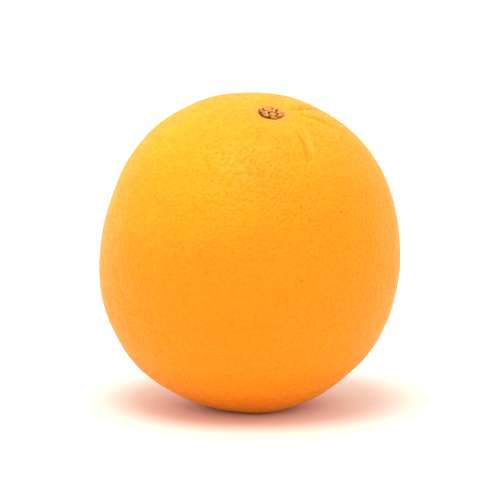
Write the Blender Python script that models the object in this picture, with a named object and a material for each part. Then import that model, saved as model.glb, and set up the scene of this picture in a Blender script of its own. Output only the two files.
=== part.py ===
"""A fresh whole orange, as picked, lying on the small flat spot that it settles on.

Metres, +Z up. The origin is the middle of the flat spot. The fruit grows along its own axis, from the blossom end
to the stem end. That axis leans forward, to -Y, and to the right, to +X. Each piece is made with the fruit's own
axis upright, stem end up and the middle of the fruit at zero, and is then laid down by the same turn and move.
"""

import math

import bmesh
import bpy
import numpy as np
from mathutils import Matrix

# The whole fruit
EQUATOR_RADIUS = 0.0378
HALF_LENGTH = 0.0397
SHOULDER_FULLNESS = 0.024  # how much fuller than an ellipsoid it is halfway to each end
WIDEST_BELOW_MIDDLE = 0.0012  # the widest ring lies this much nearer the blossom end
OVAL_SHARE = 0.010  # two-sided waviness of the widest ring
OVAL_FACING = math.radians(112)
THREE_SIDED_SHARE = 0.012  # three-sided waviness of the widest ring
THREE_SIDED_FACING = math.radians(232)

# How it lies
LEAN_FORWARD = math.radians(19)
LEAN_RIGHT = math.radians(8)
FLAT_SPOT_DEPTH = 0.0007  # how far the skin is pressed flat where it rests

# Stem end
STEM_HOLLOW_DEPTH = 0.0010
STEM_HOLLOW_RADIUS = 0.0052
FURROW_WIDTH = 0.0011
FURROW_FADE = 0.0018  # length over which a furrow begins and ends
FURROWS = (  # direction round the stem in degrees, where it starts and ends from the axis, depth
    (35, 0.0055, 0.0160, 0.00032),
    (13, 0.0075, 0.0175, 0.00038),
    (-19, 0.0060, 0.0130, 0.00022),
    (-47, 0.0085, 0.0200, 0.00042),
    (86, 0.0065, 0.0150, 0.00025),
    (148, 0.0070, 0.0130, 0.00015),
)

# Blossom end
BLOSSOM_SCAR_RADIUS = 0.0016
BLOSSOM_SCAR_DEPTH = 0.0004
BLOSSOM_RING_RADIUS = 0.0040
BLOSSOM_RING_WIDTH = 0.0012
BLOSSOM_RING_DEPTH = 0.00025

# The dry button at the stem end
BUTTON_RADIUS = 0.0030
BUTTON_THICKNESS = 0.00065
BUTTON_LOBES = 5
BUTTON_LOBE_SHARE = 0.09  # how far the lobes stand out, as a share of the button's radius
BUTTON_LOBE_FACING = math.radians(20)
STEM_STUB_RADIUS = 0.0012
STEM_STUB_RISE = 0.00045
STEM_SCAR_RADIUS = 0.00065
STEM_SCAR_DEPTH = 0.00030
BUTTON_CLEARANCE = 0.0003  # gap between the button and the skin under it

# How finely the surfaces are divided
FRUIT_SEGMENTS = 72
FRUIT_RINGS = 46
FRUIT_CROWDING = 0.6  # how strongly the rings crowd towards both ends, from 0 to 1
BUTTON_SEGMENTS = 40
BUTTON_RINGS = 20
SEARCH_STEPS = 720  # fineness of the search for the lowest point

ORANGE_PEEL = ((0.90, 0.36, 0.02, 1.0), 0.0, 0.38)  # colour, metallic, roughness
DRY_CALYX = ((0.22, 0.11, 0.04, 1.0), 0.0, 0.75)


def furrow_depth(radius, around):
    """Depth of the shallow creases that run outwards from the stem, each a soft trough along a straight line."""
    depth = 0.0
    for degrees, start, end, deepest in FURROWS:
        turn = around - math.radians(degrees)
        across = radius * np.sin(turn)
        along = radius * np.cos(turn)
        begins = 0.5 + 0.5 * np.tanh((along - start) / FURROW_FADE)
        ends = 0.5 + 0.5 * np.tanh((end - along) / FURROW_FADE)
        depth = depth + deepest * np.exp(-((across / FURROW_WIDTH) ** 2)) * begins * ends
    return depth


def blossom_depth(radius):
    """Depth of the small scar at the blossom end and of the faint ring round it."""
    scar = BLOSSOM_SCAR_DEPTH * np.exp(-((radius / BLOSSOM_SCAR_RADIUS) ** 2))
    ring = BLOSSOM_RING_DEPTH * np.exp(-(((radius - BLOSSOM_RING_RADIUS) / BLOSSOM_RING_WIDTH) ** 2))
    return scar + ring


def skin(polar, around):
    """Points of the skin, for the angle from the stem end and the angle round the axis.

    An ellipsoid with fuller shoulders, its widest ring a little low and slightly oval and three-sided. The stem
    hollow and the furrows are pressed in at one end and the blossom scar at the other.
    """
    fullness = 1.0 + SHOULDER_FULLNESS * np.sin(2.0 * polar) ** 2
    oval = OVAL_SHARE * np.cos(2.0 * (around - OVAL_FACING)) * np.sin(polar) ** 2
    three_sided = THREE_SIDED_SHARE * np.cos(3.0 * (around - THREE_SIDED_FACING)) * np.sin(polar) ** 3
    radius = EQUATOR_RADIUS * np.sin(polar) * fullness * (1.0 + oval + three_sided)
    height = HALF_LENGTH * np.cos(polar) * fullness - WIDEST_BELOW_MIDDLE * np.sin(polar) ** 2
    stem_side = 0.5 + 0.5 * np.tanh(4.0 * np.cos(polar))
    hollow = STEM_HOLLOW_DEPTH * np.exp(-((radius / STEM_HOLLOW_RADIUS) ** 2)) + furrow_depth(radius, around)
    height = height - stem_side * hollow + (1.0 - stem_side) * blossom_depth(radius)
    return np.stack([radius * np.cos(around), radius * np.sin(around), height + 0.0 * around], axis=-1)


def button_top(radius, share):
    """Height of the button over its underside: a rounded rim, a raised stem stub and the scar in its middle."""
    rim = np.sqrt(np.clip(1.0 - share**8, 0.0, 1.0))
    stub = STEM_STUB_RISE * np.exp(-((radius / STEM_STUB_RADIUS) ** 4))
    scar = STEM_SCAR_DEPTH * np.exp(-((radius / STEM_SCAR_RADIUS) ** 2))
    return rim * (BUTTON_THICKNESS + stub - scar)


def button(polar, around):
    """Points of the button: its underside follows the skin a clearance above it, and its top stands over that."""
    share = np.sin(polar)
    lobes = 1.0 + BUTTON_LOBE_SHARE * np.cos(BUTTON_LOBES * (around - BUTTON_LOBE_FACING))
    radius = share * BUTTON_RADIUS * lobes
    points = skin(np.arcsin(radius / EQUATOR_RADIUS), around)
    is_top = np.cos(polar) > 0.0
    points[..., 2] += BUTTON_CLEARANCE + np.where(is_top, button_top(radius, share), 0.0)
    return points


def leaned(points):
    """Turns points from the fruit's own upright axis to the way it lies."""
    turn = Matrix.Rotation(LEAN_FORWARD, 3, "X") @ Matrix.Rotation(LEAN_RIGHT, 3, "Y")
    return points @ np.array(turn).T


def resting_point():
    """The middle of the flat spot on the leaned fruit: its lowest point, raised by the depth of the flat spot."""
    polar = np.linspace(0.0, math.pi, SEARCH_STEPS)[:, None]
    around = np.linspace(0.0, 2.0 * math.pi, SEARCH_STEPS, endpoint=False)[None, :]
    points = leaned(skin(polar, around)).reshape(-1, 3)
    lowest = points[np.argmin(points[:, 2])]
    return lowest + np.array([0.0, 0.0, FLAT_SPOT_DEPTH])


def shaped_sphere(segments, rings, crowding, surface, origin):
    """A sphere whose points are moved onto a surface, laid down, and moved so that the origin is at zero."""
    bm = bmesh.new()
    bmesh.ops.create_uvsphere(bm, u_segments=segments, v_segments=rings, radius=1.0)
    sphere = np.array([vertex.co[:] for vertex in bm.verts])
    polar = np.arccos(np.clip(sphere[:, 2], -1.0, 1.0))
    polar = polar - 0.5 * crowding * np.sin(2.0 * polar)
    around = np.arctan2(sphere[:, 1], sphere[:, 0])
    points = leaned(surface(polar, around)) - origin
    for vertex, point in zip(bm.verts, points):
        vertex.co = point
    return bm


def cut_flat_spot(bm):
    """Takes off what lies below the origin's level and closes the cut with one flat face."""
    geometry = bm.verts[:] + bm.edges[:] + bm.faces[:]
    cut = bmesh.ops.bisect_plane(bm, geom=geometry, plane_co=(0, 0, 0), plane_no=(0, 0, 1), clear_inner=True)
    rim = [item for item in cut["geom_cut"] if isinstance(item, bmesh.types.BMEdge)]
    for edge in rim:
        edge.smooth = False
        for vertex in edge.verts:
            vertex.co.z = 0.0
    bmesh.ops.holes_fill(bm, edges=rim, sides=0)
    bmesh.ops.recalc_face_normals(bm, faces=bm.faces[:])


def make_material(name, finish):
    """A Principled material from a colour, a metallic value and a roughness."""
    colour, metallic, roughness = finish
    material = bpy.data.materials.new(name)
    material.use_nodes = True
    shader = material.node_tree.nodes["Principled BSDF"]
    shader.inputs["Base Color"].default_value = colour
    shader.inputs["Metallic"].default_value = metallic
    shader.inputs["Roughness"].default_value = roughness
    material.diffuse_color = colour
    return material


def add_piece(name, bm, finish, collection):
    """Turns a finished bmesh into a smooth-shaded object of the collection."""
    mesh = bpy.data.meshes.new(name)
    bm.to_mesh(mesh)
    bm.free()
    mesh.shade_smooth()
    mesh.materials.append(make_material(name, finish))
    piece = bpy.data.objects.new(name, mesh)
    collection.objects.link(piece)
    return piece


def make_fruit(collection, origin):
    """The peel and flesh, grown as one solid, cut flat where it rests."""
    bm = shaped_sphere(FRUIT_SEGMENTS, FRUIT_RINGS, FRUIT_CROWDING, skin, origin)
    cut_flat_spot(bm)
    return add_piece("fruit", bm, ORANGE_PEEL, collection)


def make_button(collection, origin):
    """The dry calyx with the stub of the stem, seated in the stem hollow."""
    bm = shaped_sphere(BUTTON_SEGMENTS, BUTTON_RINGS, 0.0, button, origin)
    return add_piece("calyx_button", bm, DRY_CALYX, collection)


def main():
    for old in list(bpy.data.objects):
        bpy.data.objects.remove(old)
    collection = bpy.data.collections.new("orange")
    bpy.context.scene.collection.children.link(collection)
    origin = resting_point()
    make_fruit(collection, origin)
    make_button(collection, origin)


main()
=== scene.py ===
"""A fresh orange with a pitted, waxy peel and a dry calyx button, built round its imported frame.

Metres, +Z up. The peel and the button are surfaces worked out in the fruit's own upright place, with the stem
end up and the middle of the fruit at zero. Both are then leaned, set on the floor and moved by the fit of the
smooth fruit's box to the box of the fruit's solid.
"""

import math

import bpy
import numpy as np
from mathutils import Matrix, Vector


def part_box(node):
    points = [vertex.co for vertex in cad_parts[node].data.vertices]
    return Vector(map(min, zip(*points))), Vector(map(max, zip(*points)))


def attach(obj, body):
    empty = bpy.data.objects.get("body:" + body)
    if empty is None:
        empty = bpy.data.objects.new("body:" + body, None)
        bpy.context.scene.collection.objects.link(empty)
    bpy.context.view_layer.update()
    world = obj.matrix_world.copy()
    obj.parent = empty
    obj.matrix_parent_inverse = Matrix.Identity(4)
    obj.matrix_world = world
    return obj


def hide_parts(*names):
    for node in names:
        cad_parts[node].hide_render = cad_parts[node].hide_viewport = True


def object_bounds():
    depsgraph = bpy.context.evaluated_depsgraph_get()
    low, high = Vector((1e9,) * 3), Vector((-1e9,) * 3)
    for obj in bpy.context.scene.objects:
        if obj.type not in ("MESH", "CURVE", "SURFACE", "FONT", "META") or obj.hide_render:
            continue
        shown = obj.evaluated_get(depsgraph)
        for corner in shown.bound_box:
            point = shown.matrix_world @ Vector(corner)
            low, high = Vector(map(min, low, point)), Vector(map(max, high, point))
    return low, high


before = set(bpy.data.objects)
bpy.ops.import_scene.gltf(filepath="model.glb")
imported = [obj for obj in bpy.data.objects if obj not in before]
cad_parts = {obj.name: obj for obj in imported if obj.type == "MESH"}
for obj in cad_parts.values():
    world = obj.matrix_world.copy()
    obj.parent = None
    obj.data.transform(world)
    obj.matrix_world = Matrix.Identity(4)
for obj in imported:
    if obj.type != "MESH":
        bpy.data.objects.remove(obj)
cad_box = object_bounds()

MM = 0.001

# The whole fruit, as in the solid
EQUATOR_RADIUS = 37.8 * MM
HALF_LENGTH = 39.7 * MM
SHOULDER_FULLNESS = 0.024
WIDEST_BELOW_MIDDLE = 1.2 * MM
OVAL_SHARE, OVAL_FACING = 0.010, math.radians(112)
THREE_SIDED_SHARE, THREE_SIDED_FACING = 0.012, math.radians(232)
LEAN_FORWARD, LEAN_RIGHT = math.radians(19), math.radians(8)
FLAT_SPOT_DEPTH = 0.7 * MM
FLAT_SPOT_SOFTNESS = 0.15 * MM
STEM_SIDE_SOFTNESS = 0.25  # how softly the stem's half passes into the blossom's, as a cosine from the axis

# Stem end
STEM_HOLLOW_DEPTH, STEM_HOLLOW_RADIUS = 1.0 * MM, 5.2 * MM
COLLAR_RADIUS, COLLAR_WIDTH, COLLAR_RISE = 4.1 * MM, 0.75 * MM, 0.22 * MM
SEAT_SOFTNESS = 0.5 * MM
FURROW_WIDTH, FURROW_FADE = 0.85 * MM, 2.4 * MM
LIP_OFFSET, LIP_WIDTH, LIP_SHARE = 1.7 * MM, 1.3 * FURROW_WIDTH, 0.7
FURROWS = (
    # direction round the stem in degrees, start and end from the axis, depth, bend in degrees for each mm
    (35, 5.2 * MM, 15.5 * MM, 0.42 * MM, 0.5),
    (12, 6.4 * MM, 16.0 * MM, 0.38 * MM, -0.6),
    (-19, 6.0 * MM, 12.5 * MM, 0.22 * MM, 1.0),
    (-46, 9.0 * MM, 18.5 * MM, 0.42 * MM, -1.3),
    (86, 6.5 * MM, 14.0 * MM, 0.22 * MM, 0.8),
    (112, 7.0 * MM, 16.0 * MM, 0.10 * MM, 1.4),
    (148, 7.0 * MM, 13.0 * MM, 0.16 * MM, -1.0),
    (184, 6.0 * MM, 15.0 * MM, 0.09 * MM, 0.6),
    (228, 6.0 * MM, 12.0 * MM, 0.12 * MM, 1.2),
    (263, 8.0 * MM, 17.0 * MM, 0.08 * MM, -0.8),
    (291, 6.5 * MM, 12.5 * MM, 0.13 * MM, 0.9),
)
FULL_FURROW = 0.5 * MM  # the depth that the furrow attribute counts as one
PLEATS, PLEAT_DEPTH, PLEAT_SWAY = 17, 0.05 * MM, 1.3
PLEAT_RADIUS, PLEAT_SPREAD = 5.8 * MM, 1.6 * MM

# Blossom end
BLOSSOM_SCAR_RADIUS, BLOSSOM_SCAR_DEPTH = 1.6 * MM, 0.4 * MM
BLOSSOM_RING_RADIUS, BLOSSOM_RING_WIDTH, BLOSSOM_RING_DEPTH = 4.0 * MM, 1.2 * MM, 0.25 * MM

# Oil pits and the unevenness of the peel
PITS = 11000
PIT_JITTER = 0.13  # how far a pit strays, as a share of the gap between pits
PIT_RADIUS = (0.38 * MM, 0.64 * MM)
PIT_DEPTH = (0.08 * MM, 0.22 * MM)
PIT_STENCIL = 4  # how many grid points a pit reaches each way
FACE_REACH = 0.4  # least cosine from a cube face's axis of a pit that can reach that face
CALM_SHARE, CALM_RADIUS = 0.6, 6.0 * MM  # pits are shallower by this share near the stem
SWELLS, SWELL_LENGTHS, SWELL_HEIGHT = 40, (5 * MM, 34 * MM), 0.050 * MM
PEEL_STEPS = 127
BAKE_MARGIN = 0.01
SEED = 7

# The dry button
BUTTON_RADIUS, BUTTON_THICKNESS = 3.1 * MM, 0.56 * MM
BUTTON_SINK = 0.10 * MM
BETWEEN_SEPALS = -0.06  # how far the rim stands out where there is no sepal, as a share of the radius
SEPALS = (
    # direction in degrees, half width in degrees, how far it stands out as a share of the radius
    (14, 27, 0.15),
    (90, 24, 0.08),
    (160, 22, 0.13),
    (226, 27, 0.13),
    (292, 22, 0.08),
)
CRACKS = (
    # direction at the rim and at the inner end in degrees, inner end as a share of the radius, depth
    (328, 298, 0.48, 0.40 * MM),
    (130, 168, 0.46, 0.38 * MM),
    (56, 38, 0.50, 0.36 * MM),
    (194, 206, 0.48, 0.34 * MM),
    (262, 252, 0.50, 0.36 * MM),
    (96, 84, 0.62, 0.24 * MM),
    (222, 230, 0.76, 0.14 * MM),
    (8, 4, 0.62, 0.18 * MM),
    (296, 290, 0.66, 0.16 * MM),
    (168, 176, 0.60, 0.16 * MM),
)
CRACK_WIDTH, CRACK_DEPTH, MOAT_DEPTH = 0.36 * MM, 0.40 * MM, 0.36 * MM
CRACK_WAVER = 5.0  # in degrees
DOME_RISE, DOME_SHARE, DOME_SPREAD = 1.2 * MM, 0.76, 0.18
STUB_PLACE, STUB_RADIUS = (0.45 * MM, -0.45 * MM), 1.10 * MM
FIBRES, FIBRE_RISE = 53, 0.022 * MM
FOLD_RISE = 0.040 * MM
SHADY_RIM_FACING, SHADY_RIM_SPREAD = 222, math.radians(50)
SHADY_RIM_SHARE, SHADY_RIM_SOFTNESS = 0.84, 0.03
BUTTON_ROWS, BUTTON_COLUMNS = 120, 320

# Colours of the peel
# The peel goes from its main orange to a paler orange towards the top and left: partly its own tone, partly
# painted light.
MAIN_ORANGE = (0.96, 0.285, 0.0020, 1.0)
LIT_PALE_ORANGE = (0.94, 0.440, 0.0080, 1.0)
# Painted shade: redder towards the underside, and deepest by the floor contact.
LOW_SHADE_ORANGE = (1.0, 0.180, 0.0010, 1.0)
CONTACT_SHADE_ORANGE = (1.0, 0.100, 0.0010, 1.0)
# Pits and pores: partly their own darker colour, partly painted shade. Furrows: painted shade.
GLAND_AND_SHADE_ORANGE = (0.60, 0.105, 0.0010, 1.0)
# Painted light on the furrows' raised lips.
LIP_LIGHT_ORANGE = (0.97, 0.47, 0.060, 1.0)
COLLAR_PEACH = (0.93, 0.35, 0.050, 1.0)
# Painted shadow in the gap round the button.
CREVICE_SHADOW_BROWN = (0.22, 0.050, 0.003, 1.0)
BLOSSOM_BROWN = (0.34, 0.13, 0.015, 1.0)
SPECK_BROWN = (0.28, 0.10, 0.006, 1.0)
SHEEN_YELLOW = (1.0, 0.62, 0.0, 1.0)
WARM_GLOSS = (1.0, 0.95, 0.90, 1.0)

# Patterns of the peel
FRUIT_HEIGHT = 79 * MM
LOW_SHADE_TOP, CONTACT_SHADE_TOP = 0.24, 0.10  # where these painted shades end, as shares of the height
PEACH_ENDS, CREVICE_SHADOW_ENDS = (3.6, 6.4), (2.9, 3.6)  # where the peach and the painted shadow beside the button fade round the stem, in mm from the axis
SHADY_SIDE = (-0.75, -0.66)  # direction from the stem to the side where that painted shadow is darkest
BLOSSOM_ENDS = (0.6, 1.9)  # where the scar's brown fades, in mm from the axis
PATCH_SIZE, MOTTLE_SIZE, GRAIN_SIZE = 26 * MM, 4.5 * MM, 0.40 * MM
SMALL_PIT_SIZE, SMALL_PIT_REACH = 0.95 * MM, 0.64
PORE_SIZE, PORE_REACH = 0.52 * MM, 0.58
SPECK_SPACING = 7.0 * MM
PEEL_BUMP = 0.20 * MM

# Colours and patterns of the button
PALE_TAN, DARK_TAN = (0.90, 0.400, 0.095, 1.0), (0.62, 0.240, 0.042, 1.0)
FIBRE_BROWN = (0.42, 0.135, 0.016, 1.0)
# Painted shade on the button's low parts.
SUNKEN_SHADE_BROWN = (0.36, 0.100, 0.009, 1.0)
RIM_BROWN = (0.26, 0.070, 0.006, 1.0)
# Painted shade in the cracks and the moat.
CRACK_SHADE_BROWN = (0.110, 0.025, 0.003, 1.0)
SHADY_BROWN = (0.100, 0.022, 0.002, 1.0)
FIBRE_SIZE, BLOTCH_SIZE = 0.28 * MM, 0.9 * MM
CALYX_BUMP = 0.10 * MM

# Floor, light and camera
FLOOR_REACH = 30.0
FLOOR_PATCH_SIZE = 0.30
FLOOR_WHITES = (0.97, 0.91, 0.83, 1.0), (0.95, 0.88, 0.80, 1.0)
LIGHT_STRENGTH, LIGHT_SPREAD = 0.56 * math.pi, math.radians(30)
LIGHT_OFFSET = (-0.08, -0.25, 0.96)  # from the middle of the fruit
CAMERA_ELEVATION, CAMERA_DISTANCE = math.radians(10), 1.0
VIEW_HEIGHT, SENSOR_WIDTH = 0.125, 36.0

rng = np.random.default_rng(SEED)


# ---------------------------------------------------------------- shape of the fruit

def gauss(distance, width):
    """A bell: one at zero distance, falling off over the width."""
    return np.exp(-((distance / width) ** 2))


def step(value, width):
    """A soft step from zero to one over about twice the width."""
    return 0.5 + 0.5 * np.tanh(value / width)


def stem_half(polar):
    """One on the half with the stem, zero on the half with the blossom scar, and soft between them."""
    return step(np.cos(polar), STEM_SIDE_SOFTNESS)


def furrow_depth(radius, around):
    """Creases running outwards from the stem.

    Each is a bell across a line that bends as it goes out, less a wider, lower bell beside it for the raised
    lip, and is faded in and out along the line.
    """
    depth = 0.0
    for degrees, start, end, deepest, bend in FURROWS:
        turn = around - np.radians(degrees + bend * (radius - start) / MM)
        along = radius * np.cos(turn)
        across = radius * np.sin(turn)
        trough = gauss(across, FURROW_WIDTH) - LIP_SHARE * gauss(across - LIP_OFFSET, LIP_WIDTH)
        depth = depth + deepest * trough * step(along - start, FURROW_FADE) * step(end - along, FURROW_FADE)
    return depth


def skin(polar, around):
    """Smooth skin at an angle from the stem end and an angle round the axis.

    An ellipsoid, fuller by the square of the sine of twice the polar angle, with its widest ring let down
    and made slightly oval and three-sided by cosines round the axis. The stem hollow and the furrows are
    pressed in at one end, and the blossom scar and its ring at the other.
    """
    fullness = 1.0 + SHOULDER_FULLNESS * np.sin(2.0 * polar) ** 2
    oval = OVAL_SHARE * np.cos(2.0 * (around - OVAL_FACING)) * np.sin(polar) ** 2
    three_sided = THREE_SIDED_SHARE * np.cos(3.0 * (around - THREE_SIDED_FACING)) * np.sin(polar) ** 3
    radius = EQUATOR_RADIUS * np.sin(polar) * fullness * (1.0 + oval + three_sided)
    height = HALF_LENGTH * np.cos(polar) * fullness - WIDEST_BELOW_MIDDLE * np.sin(polar) ** 2
    hollow = STEM_HOLLOW_DEPTH * gauss(radius, STEM_HOLLOW_RADIUS) + furrow_depth(radius, around)
    scar = BLOSSOM_SCAR_DEPTH * gauss(radius, BLOSSOM_SCAR_RADIUS)
    scar = scar + BLOSSOM_RING_DEPTH * gauss(radius - BLOSSOM_RING_RADIUS, BLOSSOM_RING_WIDTH)
    stem_side = stem_half(polar)
    height = height - stem_side * hollow + (1.0 - stem_side) * scar
    return np.stack([radius * np.cos(around), radius * np.sin(around), height], axis=-1)


def collar(radius, around, stem_side):
    """The peel's low swelling round the button, a bell in radius, with fine pleats as a cosine round it."""
    rise = COLLAR_RISE * gauss(radius - COLLAR_RADIUS, COLLAR_WIDTH)
    pleats = PLEAT_DEPTH * np.cos(PLEATS * around + PLEAT_SWAY * np.sin(3.0 * around))
    return stem_side * (rise + pleats * gauss(radius - PLEAT_RADIUS, PLEAT_SPREAD))


def leaned(points):
    """Leans upright points forward about X, after leaning them right about Y."""
    cos_r, sin_r = math.cos(LEAN_RIGHT), math.sin(LEAN_RIGHT)
    cos_f, sin_f = math.cos(LEAN_FORWARD), math.sin(LEAN_FORWARD)
    right = np.array([[cos_r, 0.0, sin_r], [0.0, 1.0, 0.0], [-sin_r, 0.0, cos_r]])
    forward = np.array([[1.0, 0.0, 0.0], [0.0, cos_f, -sin_f], [0.0, sin_f, cos_f]])
    return points @ (forward @ right).T


def angles_of(directions):
    """Angle from the stem end and angle round the axis of unit directions."""
    polar = np.arccos(np.clip(directions[..., 2], -1.0, 1.0))
    return polar, np.arctan2(directions[..., 1], directions[..., 0])


def settle(points, floor):
    """Presses flat what reaches under the floor, by a soft maximum of height and zero."""
    height = points[..., 2] - floor
    flat = 0.5 * (height + np.sqrt(height**2 + FLAT_SPOT_SOFTNESS**2))
    return np.concatenate([points[..., :2], flat[..., None]], axis=-1)


class Place:
    """Where the leaned fruit goes: a floor a little over its lowest point, and its fit to the solid's box."""

    def __init__(self, directions, node):
        smooth = leaned(skin(*angles_of(directions)))
        self.floor = smooth[..., 2].min() + FLAT_SPOT_DEPTH
        smooth = settle(smooth, self.floor).reshape(-1, 3)
        self.own_low, self.own_high = smooth.min(axis=0), smooth.max(axis=0)
        low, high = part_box(node)
        self.low, self.high = np.array(low), np.array(high)

    def put(self, points):
        """Leans and settles upright points, and moves them from the fruit's own box to the solid's."""
        share = (settle(leaned(points), self.floor) - self.own_low) / (self.own_high - self.own_low)
        return self.low + share * (self.high - self.low)


# ---------------------------------------------------------------- meshes

CUBE_FACES = [np.roll(np.eye(3), turn, axis=0)[list(order)] * [[sign], [1.0], [1.0]]
              for turn in range(3) for sign, order in ((1.0, (0, 1, 2)), (-1.0, (0, 2, 1)))]


def cube_grid(steps):
    """Unit directions to an evenly angled grid on the six faces of a cube, as six square grids."""
    angle = np.tan(np.linspace(-math.pi / 4, math.pi / 4, steps + 1))
    across, up = np.meshgrid(angle, angle, indexing="ij")
    faces = [face[0] + across[..., None] * face[1] + up[..., None] * face[2] for face in CUBE_FACES]
    grids = np.stack(faces)
    return grids / np.linalg.norm(grids, axis=-1, keepdims=True)


def corners_of_squares(grids):
    """The values at the four corners of each square of the grids, in order round it, on a fourth axis."""
    return np.stack([grids[:, :-1, :-1], grids[:, 1:, :-1], grids[:, 1:, 1:], grids[:, :-1, 1:]], axis=3)


def spread_directions(count, jitter):
    """Directions spread evenly over a sphere, their heights in equal steps and each a golden angle on.

    Each is then moved at random by a share of the gap between them.
    """
    index = np.arange(count) + 0.5
    height = 1.0 - 2.0 * index / count
    around = index * math.pi * (3.0 - math.sqrt(5.0))
    ring = np.sqrt(1.0 - height**2)
    directions = np.stack([ring * np.cos(around), ring * np.sin(around), height], axis=-1)
    gap = math.sqrt(4.0 * math.pi / count)
    directions += rng.normal(0.0, jitter * gap, directions.shape)
    return directions / np.linalg.norm(directions, axis=-1, keepdims=True)


def pit_field(grids):
    """Depth of the oil pits on the grids: the deepest of the bells that reach each point.

    Each pit is dropped on every face it can reach, on the square of grid points round it.
    """
    steps = grids.shape[1] - 1
    centres = spread_directions(PITS, PIT_JITTER)
    radius = rng.uniform(*PIT_RADIUS, PITS)
    depth = rng.uniform(*PIT_DEPTH, PITS) * (radius / PIT_RADIUS[1])
    offsets = np.arange(-PIT_STENCIL, PIT_STENCIL + 1)
    shift_i, shift_j = (shift.ravel() for shift in np.meshgrid(offsets, offsets, indexing="ij"))
    field = np.zeros(grids.shape[:3])
    for face, axes in enumerate(CUBE_FACES):
        along = centres @ axes.T
        near = np.flatnonzero(along[:, 0] > FACE_REACH)
        spot = np.arctan(along[near, 1:] / along[near, :1]) / (math.pi / 2) + 0.5
        cell = np.rint(spot * steps).astype(int)
        near = near[:, None] + 0 * shift_i
        i, j = cell[:, :1] + shift_i, cell[:, 1:] + shift_j
        inside = (i >= 0) & (i <= steps) & (j >= 0) & (j <= steps)
        i, j, near = i[inside], j[inside], near[inside]
        distance = np.linalg.norm(grids[face, i, j] - centres[near], axis=-1) * EQUATOR_RADIUS
        np.maximum.at(field[face], (i, j), depth[near] * gauss(distance, radius[near]))
    return field


def swell(directions):
    """Gentle unevenness: a sum of sine waves across the fruit, each with its own heading, length and phase.

    A wave's height goes with its length.
    """
    heading = rng.normal(size=(SWELLS, 3))
    heading /= np.linalg.norm(heading, axis=-1, keepdims=True)
    length = rng.uniform(*SWELL_LENGTHS, SWELLS)
    phase = rng.uniform(0.0, 2.0 * math.pi, SWELLS)
    waves = np.sin(directions @ (heading * (2.0 * math.pi * EQUATOR_RADIUS / length)[:, None]).T + phase)
    return SWELL_HEIGHT * (waves @ (length / SWELL_LENGTHS[1]))


def add_mesh(name, points, faces, attributes, material):
    """A smooth-shaded mesh object, with one number for each point under each attribute's name."""
    mesh = bpy.data.meshes.new(name)
    mesh.from_pydata(points.tolist(), [], faces)
    for label, values in attributes.items():
        layer = mesh.attributes.new(label, "FLOAT", "POINT")
        layer.data.foreach_set("value", np.ascontiguousarray(values, dtype=np.float32))
    mesh.shade_smooth()
    mesh.materials.append(material)
    piece = bpy.data.objects.new(name, mesh)
    bpy.context.scene.collection.objects.link(piece)
    return piece


def make_peel(material, grids, place):
    """The peel: the smooth skin on six grids joined at their edges.

    It is raised outwards by the collar and the swell and lowered by the pits, which are shallower near the
    stem and stop where the button is seated.
    """
    polar, around = angles_of(grids)
    smooth = skin(polar, around)
    radius = np.linalg.norm(smooth[..., :2], axis=-1)
    stem_side = stem_half(polar)
    seat = stem_side * step(COLLAR_RADIUS - radius, SEAT_SOFTNESS)
    calm = 1.0 - CALM_SHARE * stem_side * gauss(radius, CALM_RADIUS)
    pits = pit_field(grids) * (1.0 - seat) * calm
    relief = collar(radius, around, stem_side) + swell(grids) * (1.0 - seat) - pits
    out = smooth / np.linalg.norm(smooth, axis=-1, keepdims=True)
    points = place.put(smooth + relief[..., None] * out)

    keys = np.round(grids.reshape(-1, 3) * 1e6).astype(np.int64)
    _, first, which = np.unique(keys, axis=0, return_index=True, return_inverse=True)
    faces = corners_of_squares(which.reshape(grids.shape[:3])).reshape(-1, 4)
    values = {
        "furrow": furrow_depth(radius, around) * stem_side / FULL_FURROW,
        "pit": pits / PIT_DEPTH[1],
        "stem_x": smooth[..., 0] / MM,
        "stem_y": smooth[..., 1] / MM,
        "stem_side": stem_side,
    }
    attributes = {name: value.reshape(-1)[first] for name, value in values.items()}
    peel = add_mesh("peel", points.reshape(-1, 3)[first], faces.tolist(), attributes, material)
    add_bake_map(peel)
    return peel


def add_bake_map(peel):
    """A UV map laid out for baking the finish: the six grids as three by two tiles, a small margin apart."""
    share = BAKE_MARGIN + np.linspace(0.0, 1.0, PEEL_STEPS + 1) * (1.0 - 2.0 * BAKE_MARGIN)
    across, up = np.meshgrid(share, share, indexing="ij")
    tiles = [np.stack([(face % 3 + across) / 3.0, (face // 3 + up) / 2.0], axis=-1) for face in range(6)]
    places = corners_of_squares(np.stack(tiles))
    layer = peel.data.uv_layers.new(name="OFBake")
    layer.data.foreach_set("uv", np.ascontiguousarray(places.reshape(-1), dtype=np.float32))


def turn_between(around, degrees):
    """The angle from a direction in degrees, between minus and plus half a turn."""
    turn = around - np.radians(degrees)
    return np.arctan2(np.sin(turn), np.cos(turn))


def sepal_reach(around):
    """How far the sepals stand out, as a share of the radius: a sum of a bell in angle for each sepal."""
    reach = 0.0
    for degrees, half_width, share in SEPALS:
        reach = reach + share * gauss(turn_between(around, degrees), math.radians(half_width))
    return reach


def button_outline(around):
    """Radius of the button's rim: the sepals' reach, roughened by two fast cosines."""
    rough = 0.020 * np.cos(11 * around + 0.7) + 0.015 * np.cos(23 * around + 2.0)
    return BUTTON_RADIUS * (1.0 + BETWEEN_SEPALS + rough + sepal_reach(around))


def from_stub(radius, around):
    """Distances along X and Y from the middle of the stem stub."""
    return radius * np.cos(around) - STUB_PLACE[0], radius * np.sin(around) - STUB_PLACE[1]


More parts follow.
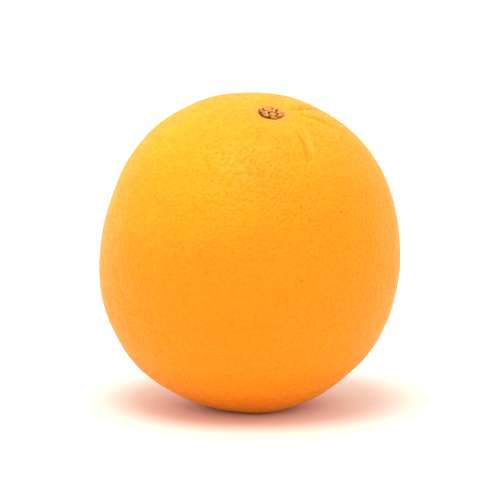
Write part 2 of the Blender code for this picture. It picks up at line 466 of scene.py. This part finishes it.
def moat_depth(radius, around):
    """Depth of the moat round the stem stub.

    A bell in the distance from a ring that two sines roughen, shallower and narrower on the near side.
    """
    x, y = from_stub(radius, around)
    round_stub = np.arctan2(y, x)
    far_side = step(np.sin(round_stub) + 0.1, 0.25)
    ragged = 0.88 + 0.12 * np.sin(5.0 * round_stub)
    rough = 0.08 * np.sin(3.0 * round_stub + 0.6) + 0.04 * np.sin(8.0 * round_stub)
    width = CRACK_WIDTH * (0.50 + 0.34 * far_side)
    moat = gauss(np.hypot(x, y) - STUB_RADIUS * (1.0 + rough), width)
    return MOAT_DEPTH * (0.50 + 0.50 * far_side) * ragged * moat


def button_cracks(radius, share, around):
    """Depth of the cracks between the sepals and of the moat, whichever is deeper.

    A crack is a bell across a line whose direction turns with the share of the radius and wavers as a sine.
    It starts at its inner share and widens outwards, and its width goes with its depth.
    """
    depth = moat_depth(radius, around)
    for outer, inner, start, deepest in CRACKS:
        line = inner + (outer - inner) * (share - start) / (1.0 - start)
        turn = turn_between(around, line + CRACK_WAVER * np.sin(13.0 * share + outer))
        width = CRACK_WIDTH * deepest / CRACK_DEPTH * (0.30 + 0.90 * share)
        across = gauss(radius * np.sin(turn), width) * (np.cos(turn) > 0.0)
        depth = np.maximum(depth, deepest * across * step(share - start, 0.05))
    return depth


def button_relief(radius, share, around):
    """Height of the button over its seat.

    A rounded rim, a dome for each sepal as a bell in angle and share, the torn stem stub, and fibres and
    folds as waves, less the cracks.
    """
    x, y = from_stub(radius, around)
    rim = np.sqrt(np.clip(1.0 - share**8, 0.0, 1.0))
    domes = DOME_RISE * sepal_reach(around) * gauss(share - DOME_SHARE, DOME_SPREAD)
    stub = np.exp(-((np.hypot(x, y) / (0.85 * STUB_RADIUS)) ** 4))
    torn = 0.10 + 0.06 * np.sin(7.0 * x / MM + 2.0 * np.sin(5.0 * y / MM)) + 0.06 * np.sin(9.0 * y / MM + 1.0)
    fibres = FIBRE_RISE * np.cos(FIBRES * around + 3.0 * np.sin(5 * around)) * step(share - 0.35, 0.1)
    wander = np.cos(4 * around) + 0.5 * np.cos(9 * around + 1.0)
    folds = FOLD_RISE * np.cos(2.0 * wander + 3.6 * radius / MM) * step(share - 0.25, 0.1)
    height = BUTTON_THICKNESS + domes + MM * torn * stub + fibres + folds
    return rim * (height - button_cracks(radius, share, around))


def make_button(material, place):
    """The button: rows run from the middle of its top over the rim to the middle of its underside."""
    row, around = np.meshgrid(np.linspace(0.0, math.pi, BUTTON_ROWS + 1),
                              np.linspace(0.0, 2.0 * math.pi, BUTTON_COLUMNS, endpoint=False), indexing="ij")
    share = np.sin(row)
    radius = share * button_outline(around)
    top = np.cos(row) > 0.0
    relief = button_relief(radius, share, around)
    points = skin(np.arcsin(radius / EQUATOR_RADIUS), around)
    points[..., 2] += np.where(top, relief, 0.0) - BUTTON_SINK
    shady_side = gauss(turn_between(around, SHADY_RIM_FACING), SHADY_RIM_SPREAD)
    values = {
        "height": relief / BUTTON_THICKNESS * top,
        "share": share,
        "crack": button_cracks(radius, share, around) / MOAT_DEPTH,
        "shady_rim": step(share - SHADY_RIM_SHARE, SHADY_RIM_SOFTNESS) * (0.25 + 0.75 * shady_side),
    }
    attributes = {name: with_single_ends(value) for name, value in values.items()}
    points = with_single_ends(place.put(points))
    return add_mesh("calyx", points, closed_faces(*row.shape), attributes, material)


def with_single_ends(grid):
    """The grid's values in one list, with its first and last rows as one value each."""
    return np.concatenate([grid[:1, 0], grid[1:-1].reshape(-1, *grid.shape[2:]), grid[-1:, 0]])


def closed_faces(rows, columns):
    """Faces of a grid whose columns run round and whose first and last rows are single points."""
    index = 1 + np.arange((rows - 2) * columns).reshape(rows - 2, columns)
    after = np.roll(index, -1, axis=1)
    squares = np.stack([index[:-1], index[1:], after[1:], after[:-1]], axis=-1).reshape(-1, 4)
    first = np.stack([0 * index[0], index[0], after[0]], axis=-1)
    last = np.stack([0 * index[-1] + index[-1, -1] + 1, after[-1], index[-1]], axis=-1)
    return squares.tolist() + first.tolist() + last.tolist()


# ---------------------------------------------------------------- materials

class Value:
    """A number carried by a socket. Sums, products and the like on it add Math nodes."""

    def __init__(self, finish, socket):
        self.finish = finish
        self.socket = socket

    def math(self, operation, *values):
        """Adds a Math node whose inputs are the values, in order."""
        return self.finish.node("ShaderNodeMath", {"operation": operation}, dict(enumerate(values)))

    def __add__(self, other):
        return self.math("ADD", self, other)

    def __sub__(self, other):
        return self.math("SUBTRACT", self, other)

    def __mul__(self, other):
        return self.math("MULTIPLY", self, other)

    def __truediv__(self, other):
        return self.math("DIVIDE", self, other)

    def __pow__(self, other):
        return self.math("POWER", self, other)

    def __rsub__(self, other):
        return self.math("SUBTRACT", other, self)

    def __rtruediv__(self, other):
        return self.math("DIVIDE", other, self)

    __radd__ = __add__
    __rmul__ = __mul__

    def clamp(self):
        return self.finish.node("ShaderNodeClamp", {}, {0: self})

    def ramp(self, low, high):
        """Zero below low, one above high and an eased slope between."""
        return self.finish.node("ShaderNodeMapRange", {"interpolation_type": "SMOOTHSTEP"},
                                {"Value": self, "From Min": low, "From Max": high})


class Finish:
    """A material being made, with one method that adds any node."""

    def __init__(self, name):
        self.material = bpy.data.materials.new(name)
        self.material.use_nodes = True
        self.tree = self.material.node_tree
        self.shader = self.tree.nodes["Principled BSDF"]

    def node(self, kind, settings, values, output=0):
        """Adds a node of a kind, with its settings first and then its sockets' values or links."""
        made = self.tree.nodes.new(kind)
        for key, setting in settings.items():
            setattr(made, key, setting)
        for key, value in values.items():
            self.feed(made.inputs[key], value)
        return Value(self, made.outputs[output])

    def feed(self, socket, value):
        """Links a value to a socket, or sets the socket to a plain number or colour."""
        if isinstance(value, Value):
            self.tree.links.new(value.socket, socket)
        else:
            socket.default_value = value

    def attribute(self, name):
        return self.node("ShaderNodeAttribute", {"attribute_name": name}, {}, "Fac")

    def place(self):
        return self.node("ShaderNodeTexCoord", {}, {}, "Object")

    def along(self, axis):
        """The place along X, Y or Z, in metres."""
        return self.node("ShaderNodeSeparateXYZ", {}, {0: self.place()}, axis)

    def blend(self, factor, first, second):
        """A colour that goes from the first to the second with the factor."""
        return self.node("ShaderNodeMix", {"data_type": "RGBA"}, {0: factor, 6: first, 7: second}, 2)

    def noise(self, size, detail=3.0, roughness=0.5):
        """Noise with features of about a size, in metres, centred on a half."""
        values = {"Vector": self.place(), "Scale": 1.0 / size, "Detail": detail, "Roughness": roughness}
        return self.node("ShaderNodeTexNoise", {}, values)

    def cells(self, size):
        """Distance to the nearest of scattered points about a size apart, as a share of that size."""
        values = {"Vector": self.place(), "Scale": 1.0 / size}
        return self.node("ShaderNodeTexVoronoi", {}, values, "Distance")

    def bells(self, size, reach):
        """Round bells at scattered points: one less the squared distance over a reach, squared again."""
        distance = self.cells(size)
        return (1.0 - distance * distance * (1.0 / reach**2)).clamp() ** 2.0

    def bump(self, height, distance):
        return self.node("ShaderNodeBump", {}, {"Height": height, "Distance": distance, "Strength": 1.0})

    def finish(self, sockets):
        """Sets or links the shader's sockets by their names, and gives the finished material."""
        for name, value in sockets.items():
            self.feed(self.shader.inputs[name], value)
        return self.material


def ground_colour(peel, patches, mottle):
    """The peel's colour without its marks: yellower high up and to the left, partly the fruit's own tone and
    partly painted light where the broad light falls, and redder underneath as painted shade towards the
    floor.
    """
    height = peel.along("Z") * (1.0 / FRUIT_HEIGHT)
    side = peel.along("X") * (1.0 / FRUIT_HEIGHT)
    # paler towards the top and left: partly the fruit's own tone, partly painted light from the side the
    # broad light comes from
    lit_pale = (height - side * 0.35 + (patches - 0.5) * 0.35 + (mottle - 0.5) * 0.15).ramp(0.60, 1.10)
    colour = peel.blend(lit_pale, MAIN_ORANGE, LIT_PALE_ORANGE)
    # painted shade: redder towards the bottom, and deeper still right by the floor
    colour = peel.blend((1.0 - height.ramp(0.0, LOW_SHADE_TOP)) * 0.6, colour, LOW_SHADE_ORANGE)
    return peel.blend((1.0 - height.ramp(0.0, CONTACT_SHADE_TOP)) * 0.35, colour, CONTACT_SHADE_ORANGE)


def shade_hollows(peel, colour, pit, small_pit, pore):
    """Darkens a colour in the pits and pores, partly their own oil-gland colour and partly painted shade,
    paints shade in the furrows, and paints light on the furrows' raised lips.
    """
    furrow = peel.attribute("furrow")
    # darker in the pits and pores, partly their own colour and partly painted shade, and painted shade in the
    # furrows
    shade = pit.ramp(0.10, 0.90) * 0.10 + small_pit * 0.11 + pore * 0.04 + furrow.ramp(0.10, 0.95) * 0.50
    colour = peel.blend(shade.clamp(), colour, GLAND_AND_SHADE_ORANGE)
    # painted light on the furrows' raised lips
    return peel.blend((furrow * -1.0).ramp(0.15, 0.70) * 0.40, colour, LIP_LIGHT_ORANGE)


def colour_ends(peel, colour, mottle):
    """Adds peach round the button, a painted shadow in the gap beside it, darkest towards its shady side, and
    brown on the blossom scar.
    """
    stem_side = peel.attribute("stem_side")
    stem_x, stem_y = peel.attribute("stem_x"), peel.attribute("stem_y")
    radius = (stem_x * stem_x + stem_y * stem_y) ** 0.5
    ring = stem_side * (1.0 - radius.ramp(*PEACH_ENDS))
    colour = peel.blend(ring * 0.60, colour, COLLAR_PEACH)
    # painted shadow beside the button, darkest towards its shady side
    shaded = ((stem_x * SHADY_SIDE[0] + stem_y * SHADY_SIDE[1]) / (radius + 0.01)).ramp(0.35, 0.95)
    crevice_shadow = stem_side * (1.0 - radius.ramp(*CREVICE_SHADOW_ENDS)) * (0.30 + shaded * 0.65)
    colour = peel.blend(crevice_shadow, colour, CREVICE_SHADOW_BROWN)
    scar = (1.0 - stem_side) * (1.0 - (radius + (mottle - 0.5) * 2.0).ramp(*BLOSSOM_ENDS))
    return peel.blend(scar * 0.75, colour, BLOSSOM_BROWN)


def waxy_peel():
    """Peel: mottled orange, redder in its pits (partly their own colour, partly painted shade), with painted
    light on its top, left and furrow lips, painted shade underneath and in its furrows, a few brown specks
    and a soft wax gloss and sheen.
    """
    peel = Finish("waxy_orange_peel")
    patches = peel.noise(PATCH_SIZE, 2.0)
    mottle = peel.noise(MOTTLE_SIZE)
    pit = peel.attribute("pit")
    small_pit = peel.bells(SMALL_PIT_SIZE, SMALL_PIT_REACH)
    pore = peel.bells(PORE_SIZE, PORE_REACH)

    colour = ground_colour(peel, patches, mottle)
    colour = shade_hollows(peel, colour, pit, small_pit, pore)
    colour = colour_ends(peel, colour, mottle)
    specks = (1.0 - peel.cells(SPECK_SPACING).ramp(0.03, 0.06)) * (mottle - 0.46).ramp(0.0, 0.06)
    colour = peel.blend(specks * 0.55, colour, SPECK_BROWN)

    relief = peel.noise(GRAIN_SIZE, 2.0) * 0.15 - small_pit - pore * 0.30
    return peel.finish({
        "Base Color": colour,
        "Roughness": 0.30 + (patches - 0.5) * 0.10 + pit * 0.10,
        "Normal": peel.bump(relief, PEEL_BUMP),
        "IOR": 1.45,
        "Specular IOR Level": 0.18,
        "Specular Tint": WARM_GLOSS,
        "Sheen Weight": 0.40,
        "Sheen Roughness": 0.5,
        "Sheen Tint": SHEEN_YELLOW,
        "Subsurface Weight": 0.12,
        "Subsurface Radius": (1.0, 0.28, 0.06),
        "Subsurface Scale": 1.0 * MM,
    })


def dry_calyx():
    """Button: mottled tan wood with fine fibres, dark brown as painted shade in its cracks, moat and low
    parts, and as painted shadow on its rim's shady side.
    """
    calyx = Finish("dry_woody_calyx")
    fibre = calyx.noise(FIBRE_SIZE, 5.0, 0.68)
    blotch = calyx.noise(BLOTCH_SIZE)
    colour = calyx.blend(blotch.ramp(0.36, 0.64), DARK_TAN, PALE_TAN)
    colour = calyx.blend(fibre.ramp(0.46, 0.72) * 0.50, colour, FIBRE_BROWN)
    # painted shade where the button is low
    colour = calyx.blend((1.0 - calyx.attribute("height").ramp(0.60, 1.10)) * 0.50, colour, SUNKEN_SHADE_BROWN)
    colour = calyx.blend(calyx.attribute("share").ramp(0.90, 1.00) * 0.45, colour, RIM_BROWN)
    # painted shade in the cracks and the moat round the stub
    colour = calyx.blend(calyx.attribute("crack").ramp(0.10, 0.55) * 0.95, colour, CRACK_SHADE_BROWN)
    colour = calyx.blend(calyx.attribute("shady_rim") * 0.92, colour, SHADY_BROWN)
    return calyx.finish({
        "Base Color": colour,
        "Roughness": 0.76 + (fibre - 0.5) * 0.2,
        "Normal": calyx.bump(fibre, CALYX_BUMP),
        "Specular IOR Level": 0.20,
    })


def pale_floor():
    """Floor: a plain, warm white matt board with a trace of mottling."""
    floor = Finish("pale_board")
    colour = floor.blend(floor.noise(FLOOR_PATCH_SIZE, 2.0), *FLOOR_WHITES)
    return floor.finish({"Base Color": colour, "Roughness": 0.8})


# ---------------------------------------------------------------- studio

def make_floor():
    """A wide flat board under the fruit."""
    corners = FLOOR_REACH * np.array([[-1.0, -1.0, 0.0], [1.0, -1.0, 0.0], [1.0, 1.0, 0.0], [-1.0, 1.0, 0.0]])
    floor = add_mesh("floor", corners, [(0, 1, 2, 3)], {}, pale_floor())


def add_aimed(name, data, offset, target):
    """A light or camera at an offset from a target, looking at it."""
    piece = bpy.data.objects.new(name, data)
    bpy.context.scene.collection.objects.link(piece)
    piece.location = np.array(target) + offset
    piece.rotation_euler = Vector(-np.array(offset)).to_track_quat("-Z", "Y").to_euler()
    return piece


def make_studio(middle):
    """White surroundings and one broad light from nearly overhead, a little in front and to the left."""
    world = bpy.data.worlds.new("white_studio")
    world.use_nodes = True
    background = world.node_tree.nodes["Background"]
    background.inputs["Color"].default_value = (1.0, 1.0, 1.0, 1.0)
    background.inputs["Strength"].default_value = 1.0
    bpy.context.scene.world = world
    lamp = bpy.data.lights.new("broad_light", "SUN")
    lamp.energy = LIGHT_STRENGTH
    lamp.angle = LIGHT_SPREAD
    add_aimed("broad_light", lamp, LIGHT_OFFSET, middle)
    bpy.context.scene.view_settings.view_transform = "Standard"


def make_camera(middle):
    """A long lens in front, looking slightly down at the fruit, which fills five eighths of the view."""
    camera = bpy.data.cameras.new("camera")
    camera.sensor_width = SENSOR_WIDTH
    camera.lens = SENSOR_WIDTH * CAMERA_DISTANCE / VIEW_HEIGHT
    offset = np.array([0.0, -math.cos(CAMERA_ELEVATION), math.sin(CAMERA_ELEVATION)]) * CAMERA_DISTANCE
    bpy.context.scene.camera = add_aimed("camera", camera, offset, middle)


# ---------------------------------------------------------------- the scene

def main():
    grids = cube_grid(PEEL_STEPS)
    place = Place(grids, "fruit")
    peel = make_peel(waxy_peel(), grids, place)
    calyx = make_button(dry_calyx(), place)
    for piece, node, slot in ((peel, "fruit", "orange_peel"), (calyx, "calyx_button", "dry_calyx")):
        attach(piece, "root")
        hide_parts(node)
    low, high = cad_box
    middle = tuple((low + high) / 2)
    make_floor()
    make_studio(middle)
    make_camera(middle)


main()
